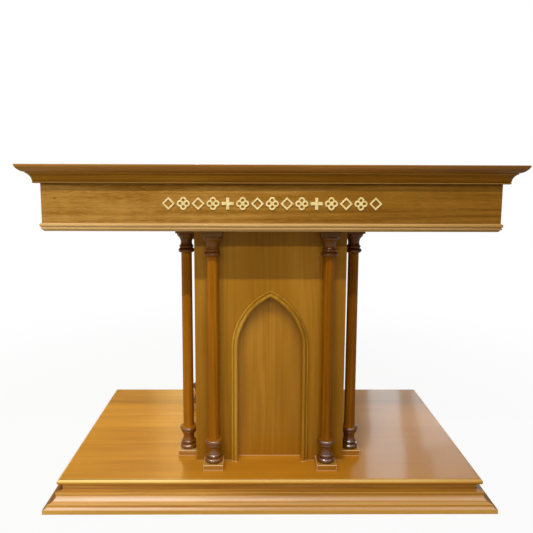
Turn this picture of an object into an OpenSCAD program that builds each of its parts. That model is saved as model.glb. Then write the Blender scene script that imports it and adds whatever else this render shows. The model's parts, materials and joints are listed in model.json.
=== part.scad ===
// Pedestal communion table: a moulded base, a square pedestal with a lancet niche,
// two turned columns on each face, and a box-built top with a gilt row on its frieze.
// Millimetres, +Z up, front towards -Y, origin on the floor under the table's middle.

/* [Base] */
// Length of the deck from nose to nose
deck_w = 1190; // [1000:10:1500]
// Depth of the deck from nose to nose
deck_d = 640; // [600:10:800]
// Thickness of the deck board, whose edges are half-round
deck_t = 16; // [14:1:24]
// Height of the deck's top above the floor
deck_z = 81; // [76:1:110]
// Distance from the deck's nose back to the risers
riser_inset = 12; // [8:1:20]
// Thickness of the risers
riser_t = 20; // [16:1:26]
// Thickness of the joists under the deck
joist_t = 20; // [16:1:26]
// Leg of the triangular blocks in the base's corners
corner_block_leg = 60; // [40:1:90]
// Height of those blocks
corner_block_h = 45; // [30:1:50]

/* [Base moulding] */
// Height of the moulding round the base
plinth_h = 47; // [44:1:54]
// Projection of the moulding from the risers
plinth_out = 43; // [41:1:56]
// Height of the square band at its foot
band_h = 12; // [8:1:14]
// Radius of the lower cove
low_cove_r = 8; // [6:1:9]
// Width of the flat arrises beside the coves
arris = 2; // [1:0.5:3]
// Height of the fillet at its top
cap_h = 7; // [5:1:10]
// Projection of that fillet from the risers
cap_out = 15; // [10:1:18]

/* [Pedestal] */
// Width of the square pedestal
pedestal_w = 434; // [420:2:480]
// Thickness of the side and back panels
panel_t = 20; // [16:1:24]
// Thickness of the front panel, which is the niche's depth
front_t = 28; // [20:1:34]
// Thickness of the panel at the niche's back
niche_panel_t = 12; // [9:1:18]
// Side of the posts inside the pedestal's corners
post_w = 30; // [20:1:40]
// Thickness of the plates at the pedestal's foot and head
plate_t = 18; // [16:1:24]

/* [Niche] */
// Width of the niche
niche_w = 188; // [150:2:210]
// Height of the springing line above the deck
spring_h = 344; // [280:2:400]
// Radius of the two arcs of the pointed arch
arch_r = 172; // [130:2:220]
// Width of the trim round the niche
trim_w = 18; // [16:1:22]
// Thickness of the trim's backing strip
trim_t = 3; // [2:0.5:6]
// Radius of the bead along the trim's inner edge
trim_bead_r = 5; // [3:0.25:5]
// Radius of the small bead along its outer edge
trim_edge_r = 2.75; // [1.5:0.25:3]

/* [Columns] */
// Distance between the axes of the two columns on a face
column_pitch = 326; // [300:2:340]
// Side of the plinth blocks and abaci
block_w = 57; // [54:1:64]
// Height of the plinth blocks
block_h = 18; // [14:1:26]
// Height of the abaci
abacus_h = 19; // [12:1:24]
// Radius of the shaft at its foot
shaft_foot_r = 16; // [14:0.5:18]
// Radius of the shaft at its head
shaft_head_r = 15.5; // [13:0.5:17]
// Distance from the block's faces in to the lower ring and the torus at the foot
low_ring_in = 2.5; // [2:0.5:5]
// Distance from the abacus's faces in to the upper ring
high_ring_in = 5; // [3:0.5:6]
// Height of the rings
ring_h = 13; // [9:1:15]
// Height of the torus
torus_h = 14; // [10:1:16]
// Outer radius of the small bead over the torus
low_bead_r = 21.5; // [19:0.5:23]
// Outer radius of the small bead over the upper ring
high_bead_r = 20.5; // [19.5:0.5:22]
// Height of the small beads
bead_h = 10; // [7:1:11]
// Height of the quirk between torus and bead
quirk_h = 1.5; // [1:0.5:3]
// Depth of that quirk behind the bead's edge
quirk_in = 1.5; // [1:0.5:3]
// Radius of the waists
waist_r = 16.5; // [14:0.5:18]
// Radius of the hollows that form the waists
hollow_r = 25; // [22:0.5:30]
// Step from a ring's edge in to the flare below it
flare_step = 3; // [2:0.5:4]
// Height of the lower ring's middle above the plinth block
low_ring_z = 62; // [56:1:66]
// Height of the lower waist above the plinth block
low_waist_z = 35; // [32:1:38]
// Depth of the upper ring's middle below the abacus
high_ring_z = 51; // [48:1:56]
// Depth of the upper waist below the abacus
high_waist_z = 28; // [25:1:30]
// Distance from the abacus's faces in to the disc under it
disc_in = 0.5; // [0.5:0.5:4]
// Height of that disc
disc_h = 5; // [3:1:8]
// Step from the disc's edge in to the flare below it
disc_step = 1.5; // [1:0.5:3]
// Radius of the tenons
tenon_r = 10; // [8:0.5:12]
// Length of a tenon in the deck or the soffit
tenon_l = 8; // [6:0.5:10]

/* [Top] */
// Height of the table
table_h = 950; // [900:10:1000]
// Length of the frieze
frieze_w = 1200; // [1000:10:1500]
// Depth of the frieze
frieze_d = 650; // [620:10:800]
// Height of the frieze boards
frieze_h = 131; // [115:1:150]
// Thickness of the frieze boards
frieze_t = 20; // [16:1:26]
// Thickness of the top board
top_t = 20; // [18:1:28]
// Overhang of the top board beyond the frieze
top_over = 47; // [40:1:60]
// Height of the flat along the top board's upper edge
edge_flat = 2.5; // [1:0.5:5]
// Distance that the round below that flat runs in under the board
nose_in = 20; // [14:1:24]
// Radius of that round
nose_r = 26; // [22:1:40]
// Thickness of the soffit board
soffit_t = 18; // [16:1:24]
// Thickness of the ribs inside the top
rib_t = 20; // [16:1:26]
// Side of the square cleats under the top board
cleat_w = 20; // [18:1:26]

/* [Top mouldings] */
// Height of the cove moulding under the top board
cove_h = 28; // [27:1:34]
// Projection of its upper fillet
cove_out = 27; // [27:1:36]
// Height of that fillet
cove_fillet_h = 3; // [2:0.5:5]
// Projection of its lip
lip_out = 15; // [11:1:15]
// Radius of its hollow
cove_r = 23; // [23:1:30]
// Radius of its lip
lip_r = 3; // [2:0.5:4]
// Height of the bead moulding under the frieze
rule_h = 22; // [21:1:30]
// Projection of its bead from the frieze
rule_out = 5; // [3:0.5:8]
// Height of its bead
rule_bead_h = 11; // [9:1:12]
// Height of the reed under that bead
reed_h = 6; // [4:0.5:6.5]
// Projection of the reed from the frieze
reed_out = 3; // [2:0.5:4]
// Distance from the frieze's face back to the round under the reed
rule_back = 1; // [1:0.5:3]
// Radius of that round
rule_round_r = 5; // [3:0.5:5.5]

/* [Gilt row] */
// Distance between neighbouring ornaments
row_pitch = 38.5; // [37:0.5:42]
// Number of ornaments to each side of the middle one
row_half = 7; // [5:1:9]
// Place of the two crosses, counted from the middle
cross_place = 3; // [2:1:4]
// Width of the quatrefoils and lozenges
ornament_w = 34; // [28:1:36]
// Width of the crosses
cross_w = 31; // [26:1:36]
// Width of the cross's arms
cross_arm = 8; // [6:0.5:10]
// Width of the ornaments' strokes
stroke = 4.5; // [3:0.25:5]
// Thickness of the gilt pieces
gilt_t = 3; // [2:0.5:5]

/* [Screws] */
// Radius of the screws' shanks
screw_r = 2.5; // [2:0.25:3]
// Radius of their countersunk heads
screw_head_r = 5; // [4:0.25:6]
// Height of those heads
screw_head_h = 4; // [3:0.5:5]
// Length of the screws
screw_l = 30; // [26:1:32]
// Length of their points
screw_point = 5; // [4:0.5:7]
// Radius of the points' tips
screw_tip_r = 0.6; // [0.4:0.1:1]
// Distance from the pedestal's inner walls to the screws through its plates
screw_inset = 55; // [45:1:80]
// Distance from a rib to the cleats' screws on each side of it
cleat_screw_gap = 120; // [60:5:160]

/* [Fits] */
// Clearance round tenons and screws, and at the ends of tenons
fit = 0.3; // [0.2:0.05:0.5]

/* [Hidden] */
$fn = 96;
eps = 1;
SIDES = ["front", "right", "back", "left"];
HANDS = [-1, 1];
PLACES = [for (side = [0:3]) for (hand = [0:1]) [side, hand]];

honey = "#a9752b";
honey_light = "#c08a3c";
nut_brown = "#8a5316";
pale_wood = "#cfa873";
gilt = "#d8b968";
steel = "#8d9094";

// Base
deck_under = deck_z - deck_t;
riser_w = deck_w - 2 * riser_inset;
riser_d = deck_d - 2 * riser_inset;
base_inner_w = riser_w - 2 * riser_t;
base_inner_d = riser_d - 2 * riser_t;
low_cove_out = plinth_out - arris;
low_cove_z = band_h + low_cove_r;
high_cove_out = low_cove_out - low_cove_r - arris;
high_cove_z = plinth_h - cap_h;
high_cove_r = high_cove_z - low_cove_z - arris;

// Top, from the top board down
top_under = table_h - top_t;
top_w = frieze_w + 2 * top_over;
top_d = frieze_d + 2 * top_over;
nose_h = top_t - edge_flat;
nose_chord = norm([nose_in, nose_h]);
nose_sink = sqrt(nose_r ^ 2 - nose_chord ^ 2 / 4) / nose_chord;
frieze_z = top_under - frieze_h;
soffit_z = frieze_z - rule_h;
soffit_top = soffit_z + soffit_t;
top_inner_w = frieze_w - 2 * frieze_t;
top_inner_d = frieze_d - 2 * frieze_t;
cleat_z = top_under - cleat_w;

// Pedestal
pedestal_h = soffit_z - deck_z;
inner_w = pedestal_w - 2 * panel_t;
inner_front = -pedestal_w / 2 + front_t;
cavity_front = inner_front + niche_panel_t;
cavity_back = pedestal_w / 2 - panel_t;
cavity_d = cavity_back - cavity_front;
wall_x = (pedestal_w - panel_t) / 2;
spring_z = deck_z + spring_h;
arch_centre = arch_r - niche_w / 2;

// Columns
column_axis = pedestal_w / 2 + block_w / 2;
low_ring_r = block_w / 2 - low_ring_in;
high_ring_r = block_w / 2 - high_ring_in;
disc_r = block_w / 2 - disc_in;
spindle_z = deck_z + block_h;
spindle_h = pedestal_h - block_h - abacus_h;
low_bead_z = torus_h + quirk_h + bead_h / 2;
low_bead_top = low_bead_z + bead_h / 2;
high_ring_mid = spindle_h - high_ring_z;
high_bead_mid = high_ring_mid + (ring_h + bead_h) / 2;
high_waist_mid = spindle_h - high_waist_z;
flare_top = spindle_h - disc_h;
socket_l = tenon_l + fit;

// Gilt row, in the middle of the frieze's open height
row_z = (frieze_z + top_under - cove_h) / 2;
lobe_r = ornament_w / 4;

// Screws, as [x, y] of those through the pedestal's plates and those through the cleats
plate_screws = [for (x = HANDS) for (y = [cavity_front + screw_inset, cavity_back - screw_inset])
  [x * (inner_w / 2 - screw_inset), y]];
cleat_y = (top_inner_d - cleat_w) / 2;
cleat_screws = [for (x = HANDS) for (gap = HANDS) for (y = HANDS)
  [x * wall_x + gap * cleat_screw_gap, y * cleat_y]];

function column_name(place) = str("column_", SIDES[place[0]], "_", place[1] + 1);
function block_name(place) = str("plinth_block_", SIDES[place[0]], "_", place[1] + 1);
function side_names(stem) = [for (side = SIDES) str(stem, "_", side)];

// Length and depth of a w by d rectangle as seen by someone facing the given side
function along(side, w, d) = side % 2 == 0 ? w : d;
function across(side, w, d) = side % 2 == 0 ? d : w;

// Shared shapes

// Turns a piece that is drawn at the front to the given side
module to_side(side) {
  rotate([0, 0, 90 * side]) children();
}

// Sweeps a profile, drawn outwards from a face, along X at that face's place on the front
module front_run(length, y) {
  translate([-length / 2, y, 0])
    rotate([90, 0, 90])
      linear_extrude(length) mirror([1, 0]) children();
}

// A length of moulding on one side of a w by d rectangle, mitred at both ends
module mitred_run(side, w, d, reach, depth, height) {
  run_w = along(side, w, d);
  run_d = across(side, w, d);
  to_side(side) intersection() {
    front_run(run_w + 2 * reach, -run_d / 2) children();
    linear_extrude(height) polygon([
      [-run_w / 2 - reach, -run_d / 2 - reach],
      [run_w / 2 + reach, -run_d / 2 - reach],
      [run_w / 2 - depth, -run_d / 2 + depth],
      [-run_w / 2 + depth, -run_d / 2 + depth]
    ]);
  }
}

// A board whose four edges follow the cross-sections given for its width and its depth
module edged_board(w, d) {
  intersection() {
    rotate([90, 0, 0]) linear_extrude(d, center = true) children(0);
    rotate([90, 0, 90]) linear_extrude(w, center = true) children(1);
  }
}

// Puts a piece at one column's axis
module at_column(place) {
  to_side(place[0])
    translate([HANDS[place[1]] * column_pitch / 2, -column_axis, 0]) children();
}

// A countersunk screw from the middle of its head along +Z, or its hole with a clearance
module screw(gap = 0) {
  straight = screw_l - screw_point;
  cylinder(r1 = screw_head_r + gap, r2 = screw_r + gap, h = screw_head_h);
  cylinder(r = screw_r + gap, h = straight + gap);
  translate([0, 0, straight + gap])
    cylinder(r1 = screw_r + gap, r2 = screw_tip_r + gap, h = screw_point);
}

module deck_screws(gap = 0) {
  for (p = plate_screws) translate([p[0], p[1], deck_under]) screw(gap);
}

module soffit_screws(gap = 0) {
  for (p = plate_screws) translate([p[0], p[1], soffit_top]) rotate([180, 0, 0]) screw(gap);
}

module top_screws(gap = 0) {
  for (p = cleat_screws) translate([p[0], p[1], cleat_z]) screw(gap);
}

// Base

module half_round_edge(width) {
  square([width - deck_t, deck_t], center = true);
  for (end = HANDS) translate([end * (width - deck_t) / 2, 0]) circle(d = deck_t);
}

module deck() {
  color(honey_light) difference() {
    translate([0, 0, deck_z - deck_t / 2]) edged_board(deck_w, deck_d) {
      half_round_edge(deck_w);
      half_round_edge(deck_d);
    }
    for (place = PLACES) at_column(place)
      translate([0, 0, deck_z - socket_l]) cylinder(r = tenon_r + fit, h = socket_l + eps);
    deck_screws(fit);
  }
}

// Front and back risers run the full length, and the side risers stand between them
module riser(side) {
  length = side % 2 == 0 ? riser_w : base_inner_d;
  face = across(side, riser_w, riser_d) / 2;
  color(honey) to_side(side)
    translate([-length / 2, -face, 0]) cube([length, riser_t, deck_under]);
}

module joists() {
  color(pale_wood) for (x = HANDS)
    translate([x * wall_x - joist_t / 2, -base_inner_d / 2, 0])
      cube([joist_t, base_inner_d, deck_under]);
}

module corner_blocks() {
  color(pale_wood) for (x = [0, 1]) for (y = [0, 1])
    mirror([x, 0]) mirror([0, y])
      translate([-base_inner_w / 2, -base_inner_d / 2, deck_under - corner_block_h])
        linear_extrude(corner_block_h)
          polygon([[0, 0], [corner_block_leg, 0], [0, corner_block_leg]]);
}

// Square band, lower cove, arris, upper cove and fillet
module plinth_profile() {
  square([plinth_out, band_h]);
  difference() {
    square([low_cove_out, low_cove_z]);
    translate([low_cove_out, low_cove_z]) circle(low_cove_r);
  }
  square([low_cove_out - low_cove_r, low_cove_z + arris]);
  difference() {
    square([high_cove_out, high_cove_z]);
    translate([high_cove_out, high_cove_z]) circle(high_cove_r);
  }
  translate([0, high_cove_z]) square([cap_out, cap_h]);
}

module plinth_moulding(side) {
  color(honey_light)
    mitred_run(side, riser_w, riser_d, plinth_out, 0, plinth_h) plinth_profile();
}

// Pedestal

module lancet() {
  translate([-niche_w / 2, 0]) square([niche_w, spring_z]);
  intersection() {
    translate([-niche_w / 2, spring_z]) square([niche_w, arch_r]);
    translate([arch_centre, spring_z]) circle(arch_r);
    translate([-arch_centre, spring_z]) circle(arch_r);
  }
}

module pedestal_front() {
  color(honey) difference() {
    translate([-pedestal_w / 2, -pedestal_w / 2, deck_z])
      cube([pedestal_w, front_t, pedestal_h]);
    translate([0, inner_front + eps, 0])
      rotate([90, 0, 0]) linear_extrude(front_t + 2 * eps) lancet();
  }
}

module pedestal_back() {
  color(honey) translate([-pedestal_w / 2, cavity_back, deck_z])
    cube([pedestal_w, panel_t, pedestal_h]);
}

module pedestal_side(hand) {
  color(honey) translate([hand * wall_x - panel_t / 2, inner_front, deck_z])
    cube([panel_t, cavity_back - inner_front, pedestal_h]);
}

module niche_panel() {
  color(honey) translate([-inner_w / 2, inner_front, deck_z])
    cube([inner_w, niche_panel_t, pedestal_h]);
}

// Backing strip with a bead along its inner edge and a smaller one along its outer edge
module trim_profile() {
  intersection() {
    square([trim_w, trim_t + trim_bead_r]);
    union() {
      square([trim_w, trim_t]);
      translate([trim_bead_r, trim_t]) circle(trim_bead_r);
      translate([trim_w - trim_edge_r, trim_t]) circle(trim_edge_r);
    }
  }
}

// The trim stands on the front panel: a straight leg, then an arc cut at the middle
module arch_trim(hand) {
  reach = arch_r + trim_w;
  color(honey) mirror([hand > 0 ? 1 : 0, 0])
    translate([0, -pedestal_w / 2, 0]) difference() {
      union() {
        translate([-niche_w / 2, 0, deck_z])
          linear_extrude(spring_h) rotate(180) trim_profile();
        translate([arch_centre, 0, spring_z]) rotate([90, 0, 0]) rotate([0, 0, 90])
          rotate_extrude(angle = 90) translate([arch_r, 0]) trim_profile();
      }
      translate([0, -reach, deck_z]) cube([reach, 2 * reach, spring_h + 2 * reach]);
    }
}

module corner_posts() {
  color(pale_wood) for (x = HANDS) for (y = [cavity_front, cavity_back - post_w])
    translate([x * (inner_w - post_w) / 2 - post_w / 2, y, deck_z + plate_t])
      cube([post_w, post_w, pedestal_h - 2 * plate_t]);
}

module plate(z) {
  translate([-inner_w / 2, cavity_front, z]) cube([inner_w, cavity_d, plate_t]);
}

module foot_plate() {
  color(pale_wood) difference() {
    plate(deck_z);
    deck_screws(fit);
  }
}

module head_plate() {
  color(pale_wood) difference() {
    plate(soffit_z - plate_t);
    soffit_screws(fit);
  }
}

// Columns

module bead_section(radius, z, height) {
  translate([0, z - height / 2]) square([radius - height / 2, height]);
  translate([radius - height / 2, z]) circle(d = height);
}

// A waist between two heights, whose flare stops at the given radius
module waist_section(low, high, waist, flare) {
  difference() {
    translate([0, low]) square([flare, high - low]);
    translate([waist_r + hollow_r, waist]) circle(hollow_r);
  }
}

// Half section of a spindle: tenon, torus, bead, waist and ring, shaft, ring, bead, waist, disc, tenon
module spindle_section() {
  tenon_foot = block_h + tenon_l;
  tenon_head = abacus_h + tenon_l;
  translate([0, -tenon_foot]) square([tenon_r, spindle_h + tenon_foot + tenon_head]);
  bead_section(low_ring_r, torus_h / 2, torus_h);
  translate([0, torus_h]) square([low_bead_r - quirk_in, quirk_h]);
  bead_section(low_bead_r, low_bead_z, bead_h);
  waist_section(low_bead_top, low_ring_z, low_waist_z, low_ring_r - flare_step);
  bead_section(low_ring_r, low_ring_z, ring_h);
  polygon([
    [0, low_ring_z],
    [shaft_foot_r, low_ring_z],
    [shaft_head_r, high_ring_mid],
    [0, high_ring_mid]
  ]);
  bead_section(high_ring_r, high_ring_mid, ring_h);
  bead_section(high_bead_r, high_bead_mid, bead_h);
  waist_section(high_bead_mid, flare_top, high_waist_mid, disc_r - disc_step);
  translate([0, flare_top]) square([disc_r, disc_h]);
}

module column(place) {
  color(nut_brown) at_column(place)
    translate([0, 0, spindle_z]) rotate_extrude() spindle_section();
}

module pierced_block(z, height) {
  difference() {
    translate([-block_w / 2, -block_w / 2, z]) cube([block_w, block_w, height]);
    translate([0, 0, z - eps]) cylinder(r = tenon_r + fit, h = height + 2 * eps);
  }
}

module plinth_block(place) {
  color(honey) at_column(place) pierced_block(deck_z, block_h);
}

module abaci() {
  color(nut_brown) for (place = PLACES) at_column(place) pierced_block(soffit_z - abacus_h, abacus_h);
}

// Top

module soffit() {
  color(honey) difference() {
    translate([-top_inner_w / 2, -top_inner_d / 2, soffit_z])
      cube([top_inner_w, top_inner_d, soffit_t]);
    for (place = PLACES) at_column(place)
      translate([0, 0, soffit_z - eps]) cylinder(r = tenon_r + fit, h = socket_l + eps);
    soffit_screws(fit);
  }
}

// The ribs stand over the pedestal's side panels and are notched for the cleats
module ribs() {
  color(pale_wood) difference() {
    for (x = HANDS) translate([x * wall_x - rib_t / 2, -top_inner_d / 2, soffit_top])
      cube([rib_t, top_inner_d, top_under - soffit_top]);
    cleat_bars();
  }
}

module cleat_bars() {
  for (y = HANDS) translate([-top_inner_w / 2, y * cleat_y - cleat_w / 2, cleat_z])
    cube([top_inner_w, cleat_w, cleat_w]);
}

module cleats() {
  color(pale_wood) difference() {
    cleat_bars();
    top_screws(fit);
  }
}

// A half-round of the given height on the bead moulding, from its core out past the frieze's face
module rule_round(z, height, out) {
  translate([-frieze_t, z]) square([frieze_t + out - height / 2, height]);
  translate([out - height / 2, z + height / 2]) circle(d = height);
}

// Bead over a reed, on a core whose lower edge is rounded
module rule_profile() {
  bead_z = rule_h - rule_bead_h;
  round_x = -rule_back - rule_round_r;
  translate([-frieze_t, rule_round_r]) square([frieze_t - rule_back, rule_h - rule_round_r]);
  translate([-frieze_t, 0]) square([frieze_t + round_x, rule_round_r]);
  intersection() {
    translate([round_x, rule_round_r]) circle(rule_round_r);
    translate([round_x, 0]) square(rule_round_r);
  }
  rule_round(bead_z, rule_bead_h, rule_out);
  rule_round(bead_z - reed_h, reed_h, reed_out);
}

module bead_moulding(side) {
  color(honey_light) translate([0, 0, soffit_z])
    mitred_run(side, frieze_w, frieze_d, rule_out, frieze_t, rule_h) rule_profile();
}

module frieze(side) {
  color(honey) translate([0, 0, frieze_z])
    mitred_run(side, frieze_w, frieze_d, 0, frieze_t, frieze_h)
      translate([-frieze_t, 0]) square([frieze_t, frieze_h]);
}

// Fillet, hollow and rounded lip
module cove_profile() {
  lip_h = 2 * lip_r;
  translate([0, cove_h - cove_fillet_h]) square([cove_out, cove_fillet_h]);
  difference() {
    translate([0, lip_h]) square([cove_out, cove_h - cove_fillet_h - lip_h]);
    translate([lip_out + cove_r, lip_h]) circle(cove_r);
  }
  square([lip_out - lip_r, lip_h]);
  translate([lip_out - lip_r, lip_r]) circle(lip_r);
}

module cove_moulding(side) {
  color(honey) translate([0, 0, top_under - cove_h])
    mitred_run(side, frieze_w, frieze_d, cove_out, 0, cove_h) cove_profile();
}

// Board edge with a flat at its top and a shallow round below, which runs in to the underside
module nosed_edge(width) {
  centre = [(width - nose_in) / 2 - nose_sink * nose_h, nose_h / 2 + nose_sink * nose_in];
  difference() {
    translate([-width / 2, 0]) square([width, top_t]);
    for (end = [0, 1]) mirror([end, 0]) difference() {
      translate([centre[0], -nose_r]) square([nose_r + nose_in, nose_r + centre[1]]);
      translate(centre) circle(nose_r);
    }
  }
}

module table_top() {
  color(honey) difference() {
    translate([0, 0, top_under]) edged_board(top_w, top_d) {
      nosed_edge(top_w);
      nosed_edge(top_d);
    }
    top_screws(fit);
  }
}

// Gilt row

// Puts an ornament at each of the given places of the row, flat against the frieze
module in_row(row_places) {
  color(gilt) for (i = row_places)
    translate([i * row_pitch, -frieze_d / 2, row_z])
      rotate([90, 0, 0]) linear_extrude(gilt_t) children();
}

module gilt_crosses() {
  in_row([-cross_place, cross_place]) {
    square([cross_w, cross_arm], center = true);
    square([cross_arm, cross_w], center = true);
  }
}

module gilt_quatrefoils() {
  in_row([for (i = [-row_half:row_half]) if (abs(i) != cross_place && i % 2 == 0) i])
    difference() {
      for (turn = [0:90:270]) rotate(turn) translate([lobe_r, 0]) circle(lobe_r);
      for (turn = [0:90:270]) rotate(turn) translate([lobe_r, 0]) circle(lobe_r - stroke);
    }
}

module gilt_lozenges() {
  in_row([for (i = [-row_half:row_half]) if (abs(i) != cross_place && i % 2 != 0) i])
    difference() {
      rotate(45) square(ornament_w / sqrt(2), center = true);
      rotate(45) square(ornament_w / sqrt(2) - 2 * stroke, center = true);
    }
}

module wood_screws() {
  color(steel) {
    deck_screws();
    soffit_screws();
    top_screws();
  }
}

deck();
joists();
corner_blocks();
for (side = [0:3]) {
  riser(side);
  plinth_moulding(side);
  bead_moulding(side);
  frieze(side);
  cove_moulding(side);
}
pedestal_front();
pedestal_side(1);  // pedestal_right
pedestal_back();
pedestal_side(-1);  // pedestal_left
niche_panel();
arch_trim(-1);  // arch_trim_left
arch_trim(1);  // arch_trim_right
corner_posts();
foot_plate();
head_plate();
for (place = PLACES) {
  column(place);
  plinth_block(place);
}
abaci();
soffit();
ribs();
cleats();
table_top();
gilt_crosses();
gilt_quatrefoils();
gilt_lozenges();
wood_screws();
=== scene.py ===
"""Looks of the communion table: eased and varnished boards, turned columns and a gilt row.

Metres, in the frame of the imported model: +Z up, front towards -Y, origin on the floor.
"""

import json
import math
from typing import NamedTuple

import bmesh
import bpy
import numpy as np
from mathutils import Color, Matrix, Quaternion, Vector

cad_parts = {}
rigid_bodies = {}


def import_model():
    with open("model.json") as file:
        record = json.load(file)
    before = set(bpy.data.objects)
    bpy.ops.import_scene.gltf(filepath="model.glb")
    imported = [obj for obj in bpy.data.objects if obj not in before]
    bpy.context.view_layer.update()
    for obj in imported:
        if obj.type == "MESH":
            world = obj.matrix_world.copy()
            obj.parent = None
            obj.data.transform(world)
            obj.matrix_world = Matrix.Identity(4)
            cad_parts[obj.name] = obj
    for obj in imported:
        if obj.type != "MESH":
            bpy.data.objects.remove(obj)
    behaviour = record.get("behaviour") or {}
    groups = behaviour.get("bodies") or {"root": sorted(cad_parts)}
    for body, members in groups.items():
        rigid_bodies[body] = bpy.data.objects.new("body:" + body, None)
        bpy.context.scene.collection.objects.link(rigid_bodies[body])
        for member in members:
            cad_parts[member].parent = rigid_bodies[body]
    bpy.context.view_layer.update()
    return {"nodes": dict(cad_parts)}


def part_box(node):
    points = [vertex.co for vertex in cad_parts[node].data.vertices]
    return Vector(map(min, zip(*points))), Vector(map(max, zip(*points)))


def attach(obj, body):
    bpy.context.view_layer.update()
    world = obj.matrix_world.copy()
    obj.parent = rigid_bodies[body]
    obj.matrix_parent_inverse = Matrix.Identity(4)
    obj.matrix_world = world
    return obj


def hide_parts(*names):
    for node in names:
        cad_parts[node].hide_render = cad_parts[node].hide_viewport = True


for leftover in list(bpy.data.objects):
    bpy.data.objects.remove(leftover)
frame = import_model()

BODY = "root"
SIDES = ("_left", "_right")

# Easing of the edges
BOARD_EASE = 0.0012
MOULDING_EASE = 0.0006
TURNING_EASE = 0.0008
GILT_EASE = 0.0005
EASE_STEPS = 2
EASE_PROFILE = 0.5

# Shaping of meshes
MERGE = 1e-5
HEIGHT_DIGITS = 5
RADIUS_DIGITS = 6
FLAT_ANGLE = math.radians(0.3)
SHARP_ANGLE = math.radians(28)
CREASE_ANGLE = math.radians(50)
TURN_STEPS = 72
SHAFT_SLOPE = 0.1
ARCH_STEPS = 48

# Where along the wood a piece starts: within a spread in metres, a golden share on from the piece before
GRAIN_SPREAD = 10.0
GOLDEN_SHARE = 0.618034


class Wire:
    """An output socket. Arithmetic on it adds Math nodes to its tree."""

    def __init__(self, bench, socket):
        self.bench = bench
        self.socket = socket

    def math(self, operation, *others):
        return self.bench.math(operation, self, *others)

    def __add__(self, other):
        return self.math("ADD", other)

    def __sub__(self, other):
        return self.math("SUBTRACT", other)

    def __mul__(self, other):
        return self.math("MULTIPLY", other)

    def __truediv__(self, other):
        return self.math("DIVIDE", other)

    def __pow__(self, other):
        return self.math("POWER", other)

    def __rsub__(self, other):
        return self.bench.math("SUBTRACT", other, self)

    def __rtruediv__(self, other):
        return self.bench.math("DIVIDE", other, self)

    __radd__ = __add__
    __rmul__ = __mul__

    def rise(self, low, high):
        """0 below low, 1 above high and a smooth rise between them."""
        return self.bench.add(
            "ShaderNodeMapRange",
            {"interpolation_type": "SMOOTHSTEP"},
            {"Value": self, "From Min": low, "From Max": high},
        )


class Bench:
    """A node tree, the one method that puts nodes in it, and short forms of that for common nodes."""

    def __init__(self, tree):
        self.tree = tree

    def add(self, kind, settings=None, sockets=None, out=0):
        """Adds a node, sets it, fills or links its sockets, and returns one of its outputs."""
        node = self.tree.nodes.new(kind)
        for name, value in (settings or {}).items():
            if name == "stops":
                self.set_stops(node.color_ramp, value)
            else:
                setattr(node, name, value)
        for key, value in (sockets or {}).items():
            if isinstance(value, Wire):
                self.tree.links.new(value.socket, node.inputs[key])
            else:
                node.inputs[key].default_value = value
        return Wire(self, node.outputs[out]) if len(node.outputs) else node

    @staticmethod
    def set_stops(ramp, stops):
        while len(ramp.elements) < len(stops):
            ramp.elements.new(1.0)
        for element, (place, colour) in zip(ramp.elements, stops):
            element.position = place
            element.color = colour

    def math(self, operation, *values):
        return self.add("ShaderNodeMath", {"operation": operation}, dict(enumerate(values)))

    def noise(self, vector, marks, detail=2.0):
        """Noise from 0 to 1, with so many marks a metre along each axis."""
        scaled = self.add("ShaderNodeVectorMath", {"operation": "MULTIPLY"}, {0: vector, 1: marks})
        return self.add("ShaderNodeTexNoise", None, {"Vector": scaled, "Scale": 1.0, "Detail": detail})

    def swing(self, vector, marks, detail=2.0):
        """The same noise, moved down so that zero is its middle."""
        return self.noise(vector, marks, detail) - 0.5

    def mix(self, factor, first, second):
        return self.add("ShaderNodeMix", {"data_type": "RGBA"}, {0: factor, 6: first, 7: second}, out=2)

    def axis(self, vector, name):
        return self.add("ShaderNodeSeparateXYZ", None, {"Vector": vector}, out=name)

    def attribute(self, name, out="Fac"):
        return self.add("ShaderNodeAttribute", {"attribute_name": name}, out=out)

    def place(self):
        return self.add("ShaderNodeTexCoord", out="Object")

    def relief(self, height, strength, depth):
        sockets = {"Strength": strength, "Distance": depth, "Height": height}
        return self.add("ShaderNodeBump", None, sockets)

    def ray(self, name):
        return self.add("ShaderNodeLightPath", out=name)

    def given(self, name):
        """A named input of a Geometry Nodes tree."""
        return self.add("NodeGroupInput", out=name)


SRGB_MAX = 255


def srgb(*levels):
    """An 8-bit sRGB colour as the linear colour that nodes take."""
    colour = Color([level / SRGB_MAX for level in levels])
    return (*colour.from_srgb_to_scene_linear(), 1.0)


def link_new(name, data):
    made = bpy.data.objects.new(name, data)
    bpy.context.scene.collection.objects.link(made)
    return made


# Materials


def new_surface(name, constants):
    """A new material, its bench and its Principled shader, whose constant sockets are set."""
    material = bpy.data.materials.new(name)
    material.use_nodes = True
    tree = material.node_tree
    tree.nodes.clear()
    shader = tree.nodes.new("ShaderNodeBsdfPrincipled")
    for socket, value in constants.items():
        shader.inputs[socket].default_value = value
    output = tree.nodes.new("ShaderNodeOutputMaterial")
    tree.links.new(shader.outputs["BSDF"], output.inputs["Surface"])
    return material, Bench(tree), shader


def feed(bench, shader, links):
    for socket, wire in links.items():
        bench.tree.links.new(wire.socket, shader.inputs[socket])


class Line(NamedTuple):
    """A level line of another colour on a piece, between two heights."""

    low: float
    high: float
    colour: tuple
    share: float


class PaintedSheen(NamedTuple):
    """A painted sheen between two heights. Slopes are those where it begins, is full, wanes and ends."""

    low: float
    high: float
    slopes: tuple


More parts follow.
